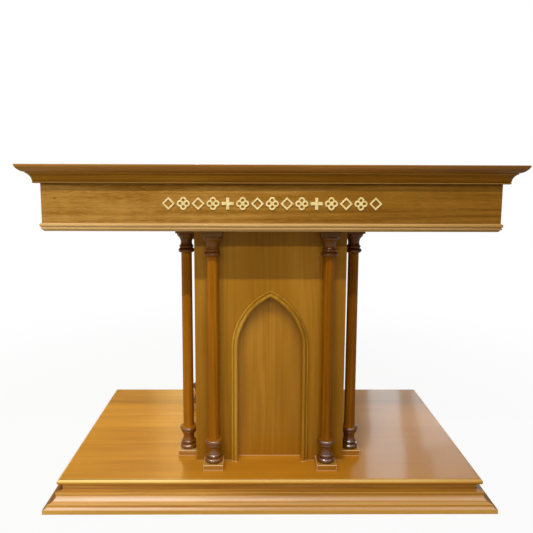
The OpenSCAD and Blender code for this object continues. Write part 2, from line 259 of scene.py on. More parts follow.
class Wood(NamedTuple):
    """A wood's colours in sRGB, and how its figure shows. Sizes are in metres."""

    pale: tuple
    mid: tuple
    deep: tuple
    ring_w: float = 0.008
    figure: float = 0.6
    board_w: float = 0.0
    # Darker to the right by so many tones a metre: painted shade, as the light falls from the left
    fade: float = 0.35
    fleck: float = 0.0
    gloss: float = 0.1
    coat: float = 0.2
    coat_ior: float = 1.45
    # Share of pale on eased edges that stand out: partly wear, partly painted highlight
    wear_and_highlight: float = 0.6
    # Share of dark on inside corners and the trim's groove, which is painted shade, and on the trim's joint
    shade_and_joint: float = 0.8
    # Colour of a painted sheen on the rounds of mouldings
    sheen_colour: tuple = ()
    # Heights and slopes of that painted sheen
    sheens: tuple = ()
    # Level lines of painted shadow and painted highlight, and pale lines along feet
    lines: tuple = ()
    stain: tuple = ()
    knot: tuple = ()


# Colours of the lines: a pale line, a painted highlight, a painted highlight for the plinth's lower band,
# and a dark brown for painted shade and the trim's joint
PALE_LINE = (240, 202, 142)
PAINTED_HIGHLIGHT = (190, 146, 76)
BAND_HIGHLIGHT = (226, 176, 86)
SHADE_AND_JOINT_DARK = (62, 34, 8)

# Heights of the lines, and of the edges that they follow
LINE_H = 0.0028
BAND_H = 0.0125
ARRIS_Z = 0.022
FOOT_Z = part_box("pedestal_front")[0].z
COVE_Z, NOSE_Z = (corner.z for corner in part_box("cove_moulding_front"))
LEDGE_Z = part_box("plinth_moulding_front")[1].z
RISER_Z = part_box("riser_front")[1].z

# A pale line along the foot of the upright pieces, where they meet the deck
FOOT_LINE = (Line(FOOT_Z, FOOT_Z + LINE_H, PALE_LINE, 0.75),)
# Painted highlights on the cove moulding's lip at its foot and along its top
COVE_LINES = (
    Line(COVE_Z + LINE_H / 3, COVE_Z + LINE_H * 4 / 3, PAINTED_HIGHLIGHT, 0.65),
    Line(NOSE_Z - LINE_H, NOSE_Z, PAINTED_HIGHLIGHT, 0.3),
)
# Painted shadow along the top of the frieze, under the cove
FRIEZE_LINE = (Line(COVE_Z - LINE_H, COVE_Z, SHADE_AND_JOINT_DARK, 0.3),)
# Painted shadow at the plinth's ledge, and painted highlights on its arris and its lower band
PLINTH_LINES = (
    Line(LEDGE_Z - LINE_H / 2, LEDGE_Z + LINE_H / 2, SHADE_AND_JOINT_DARK, 0.22),
    Line(ARRIS_Z - LINE_H / 2, ARRIS_Z + LINE_H / 2, PALE_LINE, 0.4),
    Line(0.0, BAND_H, BAND_HIGHLIGHT, 0.5),
)
# Painted shadow at the riser's top, under the deck's nose, and at its foot
RISER_LINES = (
    Line(RISER_Z - LINE_H * 3, RISER_Z, SHADE_AND_JOINT_DARK, 0.14),
    Line(LEDGE_Z, LEDGE_Z + LINE_H * 2, SHADE_AND_JOINT_DARK, 0.18),
)
# Painted sheen on the deck's rounded nose
NOSE_SHEEN = (PaintedSheen(LEDGE_Z, FOOT_Z + LINE_H, (-0.05, 0.45, 0.985, 0.9925)),)
# Painted sheen on the plinth moulding's rounds, above and below its arris
PLINTH_SHEENS = (
    PaintedSheen(ARRIS_Z, LEDGE_Z, (0.0, 0.7, 0.7, 0.96)),
    PaintedSheen(BAND_H - LINE_H / 2, ARRIS_Z, (0.3, 0.95, 1.1, 1.2)),
)

WOODS = {
    "deck_wood": Wood(
        (218, 155, 50), (193, 129, 31), (180, 115, 18), 0.009, 0.4, board_w=0.107, fade=0.57, gloss=0.2,
        sheen_colour=(255, 222, 136), sheens=NOSE_SHEEN,
    ),
    "top_wood": Wood((172, 117, 46), (145, 93, 26), (114, 69, 12), 0.009, board_w=0.109, coat=0.4),
    "plinth_wood": Wood(
        (224, 165, 74), (170, 116, 38), (184, 129, 44), figure=0.8, fade=0.5, coat=0.3, wear_and_highlight=0.9,
        sheen_colour=(250, 220, 190), sheens=PLINTH_SHEENS, lines=PLINTH_LINES,
    ),
    # Darker wood on the plinth's sides: painted shade
    "plinth_side_wood": Wood((184, 130, 62), (144, 94, 38), (112, 70, 24), figure=0.8, fade=0.1, coat=0.3),
    "riser_wood": Wood((238, 182, 96), (196, 139, 56), (152, 102, 30), fade=0.15, lines=RISER_LINES),
    # Darker wood on the riser's sides: painted shade
    "riser_side_wood": Wood((160, 108, 48), (122, 78, 30), (94, 57, 17), fade=0.1),
    "bead_wood": Wood((212, 174, 112), (186, 146, 86), (152, 110, 52), shade_and_joint=0.12),
    "cornice_wood": Wood((162, 109, 26), (131, 82, 8), (99, 59, 2), figure=0.8, coat=0.05, lines=COVE_LINES),
    "frieze_wood": Wood(
        (186, 138, 64), (142, 96, 28), (108, 68, 12), 0.011, 0.8, fleck=0.7, lines=FRIEZE_LINE,
        knot=(-0.564, 0.863),
    ),
    "pedestal_wood": Wood(
        (180, 128, 42), (158, 106, 22), (130, 84, 10), 0.010, 0.4, board_w=0.145, coat=0.1, lines=FOOT_LINE,
    ),
    "panel_wood": Wood(
        (206, 150, 58), (168, 114, 28), (142, 92, 12), 0.010, 0.4, board_w=0.145, fade=2.2, lines=FOOT_LINE,
    ),
    "trim_wood": Wood((206, 156, 56), (166, 117, 26), (126, 82, 8), fade=1.4, shade_and_joint=0.25, lines=FOOT_LINE),
    # Pale colour and a strong share on the edges: painted highlight along the blocks' edges
    "block_wood": Wood((240, 204, 150), (172, 118, 38), (134, 86, 20), wear_and_highlight=0.95, lines=FOOT_LINE),
    # Darker than the blocks' wood: painted shade under the top
    "abacus_wood": Wood((150, 110, 56), (112, 74, 20), (84, 52, 8), fade=0.6, wear_and_highlight=0.2),
    "column_wood": Wood(
        (170, 106, 20), (142, 84, 8), (104, 56, 4), 0.006, 0.7, fade=0.85, coat=0.0, coat_ior=1.9,
        stain=(80, 42, 16),
    ),
}

# Varnish
VARNISH_TINT = (255, 206, 128)
COAT_ROUGHNESS = 0.09
ROUGHNESS = 0.34
STREAK_ROUGHNESS = 0.14
WORN_ROUGHNESS = 0.06

# How often each kind of mark comes along, across and into a board, per metre
WANDER = (1.1, 6.0, 6.0)
CLOUDS = (2.0, 9.0, 9.0)
STREAKS = (5.0, 150.0, 150.0)
FIBRES = (40.0, 900.0, 900.0)
PORES = (70.0, 1900.0, 1900.0)
WAVES = (30.0, 20.0, 20.0)
FLECKS = (44.0, 340.0, 340.0)
SHIMMER = (26.0, 5.0, 5.0)

# Year rings: depth and wander of the tree's heart in metres, how they wobble, and how sharp they are
HEART_DEPTH = 0.07
HEART_WANDER = 0.08
RING_WOBBLE = 1.5
RING_SHARPNESS = 2.0

# What each mark adds to the tone, and the tones that are deep, middling and pale
STREAK_DETAIL = 4.0
CLOUD_TONE = 0.7
STREAK_TONE = 0.75
RING_TONE = 0.22
RING_MEAN = 0.4
BOARD_TONE = 0.3
TONE_STOPS = (0.12, 0.5, 0.88)
PORE_EDGE = (0.6, 0.72)
PORE_SHARE = 0.3

# What each mark adds to the relief, and the relief's strength and depth
STREAK_RELIEF = 0.5
FIBRE_RELIEF = 0.5
PORE_RELIEF = 0.4
RELIEF_STRENGTH = 0.12
RELIEF_DEPTH = 0.0006

# Ray fleck, with the places along X between which most of it goes
FLECK_WAVE = 0.016
FLECK_PATCH = (0.3, 0.7)
FLECK_LIGHT = (0.5, 0.68)
FLECK_DARK = (0.3, 0.46)
FLECK_BASE = 0.4
FLECK_DEPTH = 0.45
FLECK_FALL = (-0.35, 0.25)
FLECK_LOSS = 0.75
PATCH_DEPTH = 0.18

# The knot, and the places along Y that part the front board from the back one
KNOT_R = 0.005
KNOT_CORE = 0.3
KNOT_FLATNESS = 1.4
KNOT_SHARE = 0.7
FRONT_EDGE = (-0.1, 0.0)

# Painted sheen: its share at the left, the places along X between which some of it goes, its unevenness, and
# how far sideways a face turns before it ends
SHEEN_LEFT = 0.8
SHEEN_LOSS = 0.46
SHEEN_FALL = (-0.4, -0.05)
SHEEN_CLOUD = 0.6
SHEEN_TURN = (0.1, 0.5)

# A line's soft edge, as shares of its height from its middle
LINE_EDGE = (0.3, 0.6)

# Stain and gloss on a column's foot and head, and painted shade that darkens the feet towards the right
STAIN_EDGE = 0.002
FOOT_STAIN = 0.7
FOOT_SHADE_SLOPE = 0.8
FOOT_COAT = 0.9
HEAD_STAIN = 0.62
HEAD_COAT = 0.16


def board_grain(bench, board_w):
    """Place in the wood, and a number about zero for each board where boards are glued side by side."""
    grain = bench.attribute("grain", out="Vector")
    if not board_w:
        return grain, None
    across = bench.axis(grain, "Y")
    number = (across / board_w).math("FLOOR")
    lot = bench.add("ShaderNodeTexWhiteNoise", {"noise_dimensions": "1D"}, {"W": number})
    sockets = {
        "X": bench.axis(grain, "X") + lot * GRAIN_SPREAD,
        "Y": across - (number + 0.5) * board_w,
        "Z": bench.axis(grain, "Z"),
    }
    return bench.add("ShaderNodeCombineXYZ", None, sockets), lot - 0.5


def year_rings(bench, grain, ring_w):
    """Rings about a heart that wanders below the board, from 0 in spring wood to 1 in late wood."""
    wander = bench.swing(grain, WANDER)
    sideways = bench.axis(grain, "Y") + wander * HEART_WANDER
    below = bench.axis(grain, "Z") + HEART_DEPTH
    reach = (sideways * sideways + below * below) ** 0.5
    phase = (reach / ring_w + wander * RING_WOBBLE) * math.tau
    return (phase.math("SINE") * 0.5 + 0.5) ** RING_SHARPNESS


def with_fleck(bench, grain, place, colour, wood):
    """Short wavy marks of ray fleck, in patches that come and go along the board."""
    wave = bench.swing(grain, WAVES) * FLECK_WAVE
    shift = bench.add("ShaderNodeCombineXYZ", None, {"Y": wave})
    waved = bench.add("ShaderNodeVectorMath", {"operation": "ADD"}, {0: grain, 1: shift})
    marks = bench.noise(waved, FLECKS)
    patches = bench.noise(grain, SHIMMER).rise(*FLECK_PATCH)
    strength = wood.fleck * (1 - bench.axis(place, "X").rise(*FLECK_FALL) * FLECK_LOSS)
    light = marks.rise(*FLECK_LIGHT) * (FLECK_BASE + patches * (1 - FLECK_BASE)) * strength
    dark = (1 - marks.rise(*FLECK_DARK)) * strength * FLECK_DEPTH
    colour = bench.mix(light, colour, srgb(*wood.pale))
    colour = bench.mix(dark, colour, srgb(*wood.deep))
    return bench.mix(patches * PATCH_DEPTH, colour, srgb(*wood.deep))


def with_knot(bench, place, colour, wood):
    """One small knot in a front board."""
    off_x = bench.axis(place, "X") - wood.knot[0]
    off_z = (bench.axis(place, "Z") - wood.knot[1]) * KNOT_FLATNESS
    spot = 1 - ((off_x * off_x + off_z * off_z) ** 0.5).rise(KNOT_R * KNOT_CORE, KNOT_R)
    front = 1 - bench.axis(place, "Y").rise(*FRONT_EDGE)
    return bench.mix(spot * front * KNOT_SHARE, colour, srgb(*wood.deep))


def with_painted_sheen(bench, place, cloud, colour, wood):
    """A painted sheen on the rounds of the base's mouldings, at the front and the back, stronger on the
    left.
    """
    normal = bench.add("ShaderNodeNewGeometry", out="Normal")
    up = bench.axis(normal, "Z")
    height = bench.axis(place, "Z")
    sideways = bench.axis(normal, "X").math("ABSOLUTE").rise(*SHEEN_TURN)
    sheen_strength = SHEEN_LEFT - bench.axis(place, "X").rise(*SHEEN_FALL) * SHEEN_LOSS + cloud * SHEEN_CLOUD
    for sheen in wood.sheens:
        begin, full, wane, end = sheen.slopes
        round_side = up.rise(begin, full) * (1 - up.rise(wane, end))
        within = height.math("GREATER_THAN", sheen.low) * height.math("LESS_THAN", sheen.high)
        share = round_side * within * sheen_strength * (1 - sideways)
        colour = bench.mix(share, colour, srgb(*wood.sheen_colour))
    return colour


def with_lines(bench, place, colour, lines):
    """Level lines of painted shadow and painted highlight, and pale lines along feet."""
    height = bench.axis(place, "Z")
    for line in lines:
        off = ((height - (line.low + line.high) / 2) / (line.high - line.low)).math("ABSOLUTE")
        colour = bench.mix((1 - off.rise(*LINE_EDGE)) * line.share, colour, srgb(*line.colour))
    return colour


def with_stain(bench, place, colour, wood):
    """A column's colour, stained dark on its foot and head, with painted shade that darkens the feet towards
    the right, and the weight of its coat.
    """
    foot, head = shaft_span()
    height = bench.axis(place, "Z")
    at_foot = 1 - height.rise(foot - STAIN_EDGE, foot)
    at_head = height.rise(head, head + STAIN_EDGE)
    foot_share = at_foot * (FOOT_STAIN + bench.axis(place, "X") * FOOT_SHADE_SLOPE)
    colour = bench.mix(foot_share + at_head * HEAD_STAIN, colour, srgb(*wood.stain))
    coat = wood.coat + at_foot * (FOOT_COAT - wood.coat) + at_head * (HEAD_COAT - wood.coat)
    return colour, coat


def varnished_wood(name, wood):
    """Varnished wood on the grain attribute, whose axes run along, across and into the board."""
    constants = {
        "Specular Tint": srgb(*VARNISH_TINT),
        "Specular IOR Level": wood.gloss,
        "Coat Weight": wood.coat,
        "Coat Roughness": COAT_ROUGHNESS,
        "Coat IOR": wood.coat_ior,
    }
    material, bench, shader = new_surface(name, constants)
    pale, mid, deep = (srgb(*colour) for colour in (wood.pale, wood.mid, wood.deep))
    place = bench.place()
    worn = bench.attribute("worn")
    grain, lot = board_grain(bench, wood.board_w)
    rings = year_rings(bench, grain, wood.ring_w)
    cloud = bench.swing(grain, CLOUDS)
    streak = bench.swing(grain, STREAKS, STREAK_DETAIL)
    pores = bench.noise(grain, PORES).rise(*PORE_EDGE)
    figure = (streak * STREAK_TONE - (rings - RING_MEAN) * RING_TONE) * wood.figure
    # Painted shade: the wood darkens towards the right
    tone = 0.5 + cloud * CLOUD_TONE + figure - bench.axis(place, "X") * wood.fade
    if lot:
        tone = tone + lot * BOARD_TONE
    stops = list(zip(TONE_STOPS, (deep, mid, pale)))
    colour = bench.add("ShaderNodeValToRGB", {"stops": stops}, {0: tone})
    if wood.fleck:
        colour = with_fleck(bench, grain, place, colour, wood)
    if wood.knot:
        colour = with_knot(bench, place, colour, wood)
    colour = bench.mix(pores * (PORE_SHARE * wood.figure), colour, deep)
    # Painted sheen on the rounds of the base's mouldings
    if wood.sheens:
        colour = with_painted_sheen(bench, place, cloud, colour, wood)
    # Lines of painted shadow and painted highlight, and pale lines along feet
    colour = with_lines(bench, place, colour, wood.lines)
    # Pale eased edges: partly wear, partly painted highlight
    colour = bench.mix(worn * wood.wear_and_highlight, colour, pale)
    # Dark inside corners and the trim's groove are painted shade; the trim's joint is dark too
    colour = bench.mix(bench.attribute("soiled") * wood.shade_and_joint, colour, srgb(*SHADE_AND_JOINT_DARK))
    links = {"Roughness": ROUGHNESS + streak * STREAK_ROUGHNESS + worn * WORN_ROUGHNESS}
    if wood.stain:
        colour, links["Coat Weight"] = with_stain(bench, place, colour, wood)
    links["Base Color"] = colour
    height = streak * STREAK_RELIEF + bench.noise(grain, FIBRES) * FIBRE_RELIEF - pores * PORE_RELIEF
    links["Normal"] = bench.relief(height, RELIEF_STRENGTH, RELIEF_DEPTH)
    feed(bench, shader, links)
    return material


class Mottle(NamedTuple):
    """A surface that wavers between two sRGB colours, with so many marks a metre along each axis."""

    first: tuple
    second: tuple
    marks: tuple
    detail: float
    roughness: float
    waver: float
    constants: dict
    edge: tuple = ()
    relief: tuple = ()


MOTTLES = {
    # Gold leaf on flat ornaments
    "gilding": Mottle(
        (246, 226, 164), (226, 196, 112), (160.0, 160.0, 160.0), detail=4.0, roughness=0.3, waver=0.16,
        constants={"Metallic": 0.4, "Specular IOR Level": 0.5}, edge=(0.35, 0.7), relief=(0.1, 0.0004),
    ),
    # Bare sawn wood of the pieces inside
    "carcass_softwood": Mottle(
        (205, 168, 116), (180, 138, 86), (140.0, 9.0, 140.0), detail=3.0, roughness=0.62, waver=0.2,
        constants={"Specular IOR Level": 0.3}, edge=(0.3, 0.75), relief=(0.3, 0.0006),
    ),
    # Screws
    "zinc_steel": Mottle(
        (150, 152, 156), (186, 186, 182), (300.0, 300.0, 300.0), detail=3.0, roughness=0.3, waver=0.25,
        constants={"Metallic": 1.0},
    ),
}


def mottled_surface(name):
    """Gold leaf, bare wood or steel, on Object coordinates."""
    kind = MOTTLES[name]
    material, bench, shader = new_surface(name, kind.constants)
    mottle = bench.noise(bench.place(), kind.marks, kind.detail)
    blend = mottle.rise(*kind.edge) if kind.edge else mottle
    links = {
        "Base Color": bench.mix(blend, srgb(*kind.first), srgb(*kind.second)),
        "Roughness": kind.roughness + mottle * kind.waver,
    }
    if kind.relief:
        links["Normal"] = bench.relief(mottle, *kind.relief)
    feed(bench, shader, links)
    return material


# Meshes


def merged_shape(node):
    """A CAD node's mesh with its loose triangles joined and its flat faces whole."""
    shape = bmesh.new()
    shape.from_mesh(frame["nodes"][node].data)
    bmesh.ops.remove_doubles(shape, verts=shape.verts, dist=MERGE)
    bmesh.ops.dissolve_limit(shape, angle_limit=FLAT_ANGLE, verts=shape.verts, edges=shape.edges)
    return shape


def eased_mesh(name, node, ease):
    """A copy of a CAD node's mesh with rounded edges, marked for wear and painted highlight if they stand
    out and for painted shade if not.
    """
    shape = merged_shape(node)
    marks = {1: shape.faces.layers.float.new("worn"), -1: shape.faces.layers.float.new("soiled")}
    for bend, mark in marks.items():
        edges = [edge for edge in shape.edges if edge.is_manifold]
        sharp = [edge for edge in edges if edge.calc_face_angle_signed() * bend > SHARP_ANGLE]
        rounded = bmesh.ops.bevel(
            shape,
            geom=sharp,
            offset=ease,
            segments=EASE_STEPS,
            profile=EASE_PROFILE,
            affect="EDGES",
            clamp_overlap=False,
        )
        for face in rounded["faces"]:
            face[mark] = 1.0
    mesh = bpy.data.meshes.new(name)
    smooth_into(mesh, shape)
    return mesh


def smooth_into(mesh, shape):
    """Writes a shape into a mesh, smooth but for its creases, and frees the shape."""
    for face in shape.faces:
        face.smooth = True
    shape.to_mesh(mesh)
    shape.free()
    mesh.set_sharp_from_angle(angle=CREASE_ANGLE)


def with_even_normals(name, mesh):
    """A new object of the mesh, shaded so that its flat faces stay flat beside their eased edges."""
    maker = link_new(name + "_maker", mesh)
    weighted = maker.modifiers.new("flat_faces", "WEIGHTED_NORMAL")
    weighted.keep_sharp = True
    return from_maker(name, maker)


def from_maker(name, maker):
    """Swaps an object with live modifiers for a plain object of its final mesh."""
    graph = bpy.context.evaluated_depsgraph_get()
    mesh = bpy.data.meshes.new_from_object(maker.evaluated_get(graph))
    mesh.name = name
    bpy.data.objects.remove(maker)
    return link_new(name, mesh)


def new_tree(name, inputs, output):
    """A new Geometry Nodes tree with inputs of the named kinds and one geometry as its output."""
    tree = bpy.data.node_groups.new(name, "GeometryNodeTree")
    for socket, kind in inputs.items():
        tree.interface.new_socket(socket, in_out="INPUT", socket_type="NodeSocket" + kind)
    tree.interface.new_socket(output, in_out="OUTPUT", socket_type="NodeSocketGeometry")
    return tree


def from_nodes(name, mesh, tree, values):
    """The plain object that a Geometry Nodes tree makes of a mesh with the given named inputs."""
    maker = link_new(name + "_maker", mesh)
    modifier = maker.modifiers.new(tree.name, "NODES")
    modifier.node_group = tree
    for item in tree.interface.items_tree:
        if item.in_out == "INPUT" and item.name in values:
            modifier[item.identifier] = values[item.name]
    return from_maker(name, maker)


def lay_grain(piece, order, number):
    """Stores where each point lies along, across and into the wood, from a place of the board's own."""
    mesh = piece.data
    points = np.empty(len(mesh.vertices) * 3, np.float32)
    mesh.vertices.foreach_get("co", points)
    points = points.reshape(-1, 3)[:, ["XYZ".index(axis) for axis in order]]
    middle = (points.min(0) + points.max(0)) / 2
    share = number * GOLDEN_SHARE % 1
    start = np.array([GRAIN_SPREAD * share, 0.0, 0.0], np.float32)
    grain = mesh.attributes.new("grain", "FLOAT_VECTOR", "POINT")
    grain.data.foreach_set("vector", (points - middle + start).astype(np.float32).ravel())


def dress(piece, material, node):
    """Gives a finished piece its material, and puts it on the table in the place of its CAD node."""
    piece.data.materials.clear()
    piece.data.materials.append(material)
    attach(piece, BODY)
    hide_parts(node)


# Turned columns


def column_outline(node):
    """(radius, height) of a CAD column's outline from its foot up, read along one line of its surface."""
    low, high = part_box(node)
    axis = (low + high) / 2
    seam = {}
    for vertex in frame["nodes"][node].data.vertices:
        arm = vertex.co - axis
        if abs(arm.y) < MERGE and arm.x > 0:
            height = round(vertex.co.z, HEIGHT_DIGITS)
            seam.setdefault(height, set()).add(round(arm.x, RADIUS_DIGITS))
    outline = [(0.0, low.z)]
    for height in sorted(seam):
        last = outline[-1][0]
        nearest_first = sorted(seam[height], key=lambda radius: abs(radius - last))
        outline += [(radius, height) for radius in nearest_first]
    return outline + [(0.0, high.z)]


def shaft_span():
    """Heights of a column's plain shaft, which is the longest run of its outline that is nearly upright."""
    outline = column_outline("column_front_1")
    runs = [[0.0, 0.0]]
    for (first, low), (second, high) in zip(outline, outline[1:]):
        if abs(second - first) < SHAFT_SLOPE * (high - low):
            if runs[-1][1] != low:
                runs.append([low, low])
            runs[-1][1] = high
    return max(runs, key=lambda run: run[1] - run[0])


def turning_tree():
    """Geometry Nodes that turn an outline, drawn outwards in X and downwards in Y, about an upright axis."""
    inputs = {
        "Outline": "Geometry",
        "Axis": "Vector",
        "Core": "Float",
        "Ease": "Float",
        "Steps": "Int",
        "Finish": "Material",
    }
    tree = new_tree("turning", inputs, "Turned")
    bench = Bench(tree)
    given = bench.given
    outline = bench.add("GeometryNodeMeshToCurve", None, {"Mesh": given("Outline")})
    eased = bench.add(
        "GeometryNodeFilletCurve",
        {"mode": "POLY"},
        {"Curve": outline, "Radius": given("Ease"), "Count": EASE_STEPS, "Limit Radius": True},
    )
    core = {"Resolution": given("Steps"), "Radius": given("Core")}
    ring = bench.add("GeometryNodeCurvePrimitiveCircle", None, core)
    upright = bench.add("GeometryNodeSetCurveNormal", {"mode": "Z_UP"}, {"Curve": ring})
    turned = bench.add("GeometryNodeCurveToMesh", None, {"Curve": upright, "Profile Curve": eased})
    closed = bench.add("GeometryNodeMergeByDistance", None, {"Geometry": turned, "Distance": MERGE})
    placed = bench.add("GeometryNodeTransform", None, {"Geometry": closed, "Translation": given("Axis")})
    smooth = bench.add("GeometryNodeSetShadeSmooth", None, {"Geometry": placed})
    whole = bench.add("GeometryNodeRealizeInstances", None, {"Geometry": smooth})
    finished = bench.add("GeometryNodeSetMaterial", None, {"Geometry": whole, "Material": given("Finish")})
    bench.add("NodeGroupOutput", None, {"Turned": finished})
    return tree


def make_columns(material):
    tree = turning_tree()
    outline = column_outline("column_front_1")
    core = outline[1][0]
    points = [(radius - core, -height, 0.0) for radius, height in outline]
    steps = [(i, i + 1) for i in range(len(points) - 1)]
    values = {"Core": core, "Ease": TURNING_EASE, "Steps": TURN_STEPS, "Finish": material}
    names = sorted(node for node in frame["nodes"] if node.startswith("column_"))
    for number, node in enumerate(names):
        low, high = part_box(node)
        values["Axis"] = ((low.x + high.x) / 2, (low.y + high.y) / 2, 0.0)
        drawing = bpy.data.meshes.new("column_outline")
        drawing.from_pydata(points, steps, [])
        piece = from_nodes(node + "_turned", drawing, tree, values)
        piece.data.set_sharp_from_angle(angle=CREASE_ANGLE)
        lay_grain(piece, "ZXY", number)
        dress(piece, material, node)


# Trim of the niche


def trim_foot(node):
    """Points round the foot of a CAD trim, and the height at which its leg turns into its arc."""
    shape = merged_shape(node)
    foot = min(shape.faces, key=lambda face: face.calc_center_median().z)
    points = [vertex.co.copy() for vertex in foot.verts]
    heights = sorted({round(vertex.co.z, HEIGHT_DIGITS) for vertex in shape.verts})
    shape.free()
    return points, heights[1]


def trim_rings(node, foot, spring_z):
    """The foot's outline, carried up the leg and round the arc until each point meets the middle plane."""
    low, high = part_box(node)
    side = math.copysign(1, foot[0].x)
    inner = min(abs(point.x) for point in foot)
    outer = max(abs(point.x) for point in foot)
    width = outer - inner
    arch_h = high.z - spring_z
    arch_r = (arch_h ** 2 - width ** 2 + inner ** 2) / (2 * (width + inner))
    centre = arch_r - inner
    rings = [[(point.x, point.y, low.z) for point in foot]]
    for step in range(ARCH_STEPS + 1):
        ring = []
        for point in foot:
            reach = abs(point.x) + centre
            turn = math.acos(centre / reach) * step / ARCH_STEPS
            x = side * (reach * math.cos(turn) - centre)
            ring.append((x, point.y, spring_z + reach * math.sin(turn)))
        rings.append(ring)
    return rings


def swept_mesh(name, rings):
    """A closed mesh through rings that all have the same number of points."""
    count = len(rings[0])
    last = count * (len(rings) - 1)
    faces = [
        (start + i, start + (i + 1) % count, start + count + (i + 1) % count, start + count + i)
        for start in range(0, last, count)
        for i in range(count)
    ]
    faces += [tuple(range(count)), tuple(range(last, last + count))]
    mesh = bpy.data.meshes.new(name)
    mesh.from_pydata([point for ring in rings for point in ring], [], faces)
    shape = bmesh.new()
    shape.from_mesh(mesh)
    bmesh.ops.recalc_face_normals(shape, faces=shape.faces)
    smooth_into(mesh, shape)
    return mesh


def mark_trim_shade_and_joint(mesh, foot):
    """Marks the groove between a trim's beads for painted shade, and the joint at its top as a dark joint.
    """
    back = max(point.y for point in foot)
    crest = back - min(point.y for point in foot)
    inner = min(abs(point.x) for point in foot)
    outer = max(abs(point.x) for point in foot)
    joint = len(mesh.vertices) - len(foot)
    soiled = mesh.attributes.new("soiled", "FLOAT", "POINT")
    for i, mark in enumerate(soiled.data):
        point = foot[i % len(foot)]
        inside = inner + MERGE < abs(point.x) < outer - MERGE
        groove = inside and MERGE < back - point.y < crest / 2
        mark.value = 1.0 if groove or i >= joint else 0.0


def make_trims(material):
    """The two halves of the niche's trim."""
    for number, node in enumerate(("arch_trim_left", "arch_trim_right")):
        foot, spring_z = trim_foot(node)
        name = node + "_swept"
        mesh = swept_mesh(name, trim_rings(node, foot, spring_z))
        mark_trim_shade_and_joint(mesh, foot)
        piece = link_new(name, mesh)
        lay_grain(piece, "ZXY", number)
        dress(piece, material, node)


# Repeated pieces


def islands(shape):
    """The separate solids of a mesh, each as a list of its vertices."""
    seen = set()
    found = []
    for start in shape.verts:
        if start in seen:
            continue
        seen.add(start)
        group = [start]
        for vertex in group:
            near = {edge.other_vert(vertex) for edge in vertex.link_edges} - seen
            seen |= near
            group += near
        found.append(group)
    return found


def middle_of(vertices):
    points = [vertex.co for vertex in vertices]
    low = Vector(map(min, *points))
    high = Vector(map(max, *points))
    return (low + high) / 2


def repeat_tree():
    """Geometry Nodes that put one piece at each point of a mesh."""
    inputs = {"Places": "Geometry", "Piece": "Object", "Finish": "Material"}
    tree = new_tree("repeat_at_places", inputs, "Row")
    bench = Bench(tree)
    given = bench.given
    piece = bench.add("GeometryNodeObjectInfo", None, {"Object": given("Piece")}, out="Geometry")
    row = bench.add("GeometryNodeInstanceOnPoints", None, {"Points": given("Places"), "Instance": piece})
    whole = bench.add("GeometryNodeRealizeInstances", None, {"Geometry": row})
    finished = bench.add("GeometryNodeSetMaterial", None, {"Geometry": whole, "Material": given("Finish")})
    bench.add("NodeGroupOutput", None, {"Row": finished})
    return tree


def repeat_node(tree, node, ease, material):
    """A row of one eased solid of a CAD node, at the places of all the node's solids."""
    pattern = eased_mesh(node + "_pattern", node, ease)
    shape = bmesh.new()
    shape.from_mesh(pattern)
    groups = islands(shape)
    places = [tuple(middle_of(group)) for group in groups]
    extra = [vertex for group in groups[1:] for vertex in group]
    bmesh.ops.delete(shape, geom=extra, context="VERTS")
    bmesh.ops.translate(shape, verts=shape.verts, vec=-Vector(places[0]))
    shape.to_mesh(pattern)
    shape.free()
    single = with_even_normals(node + "_single", pattern)
    points = bpy.data.meshes.new(node + "_places")
    points.from_pydata(sorted(places), [], [])
    row = from_nodes(node + "_row", points, tree, {"Piece": single, "Finish": material})
    bpy.data.objects.remove(single)
    return row


# The table

# Start of the nodes' names, finish and easing of each kind of board and moulding
BOARDS = (
    ("deck", "deck_wood", BOARD_EASE),
    ("table_top", "top_wood", MOULDING_EASE),
    ("soffit", "top_wood", MOULDING_EASE),
    ("riser", "riser_wood", MOULDING_EASE),
    ("plinth_moulding", "plinth_wood", MOULDING_EASE),
    ("bead_moulding", "bead_wood", MOULDING_EASE),
    ("cove_moulding", "cornice_wood", MOULDING_EASE),
    ("frieze", "frieze_wood", MOULDING_EASE),
    ("pedestal", "pedestal_wood", BOARD_EASE),
    ("niche_panel", "panel_wood", MOULDING_EASE),
    ("plinth_block", "block_wood", BOARD_EASE),
)
GILT_ROW = ("gilt_crosses", "gilt_quatrefoils", "gilt_lozenges")
CARCASS = ("joists", "corner_blocks", "corner_posts", "foot_plate", "head_plate", "ribs", "cleats")


def grain_order(node):
    """Which way the wood of a node runs: its axes along, across and into the board."""
    sideways = node.endswith(SIDES)
    if node in ("deck", "table_top", "soffit"):
        return "XYZ"
    if node.startswith(("pedestal", "niche")):
        return "ZYX" if sideways else "ZXY"
    return "YZX" if sideways else "XZY"


def side_finish(node, finish):
    """The finish of a node, which is darker on the sides of the base as painted shade."""
    side = finish.replace("_wood", "_side_wood")
    return side if side in WOODS and node.endswith(SIDES) else finish


def make_boards(materials):
    """The eased boards and mouldings, each with wood of its own."""
    number = 0
    for stem, finish, ease in BOARDS:
        for node in sorted(name for name in frame["nodes"] if name.startswith(stem)):
            name = node + "_finished"
            piece = with_even_normals(name, eased_mesh(name, node, ease))
            lay_grain(piece, grain_order(node), number)
            dress(piece, materials[side_finish(node, finish)], node)
            number += 1


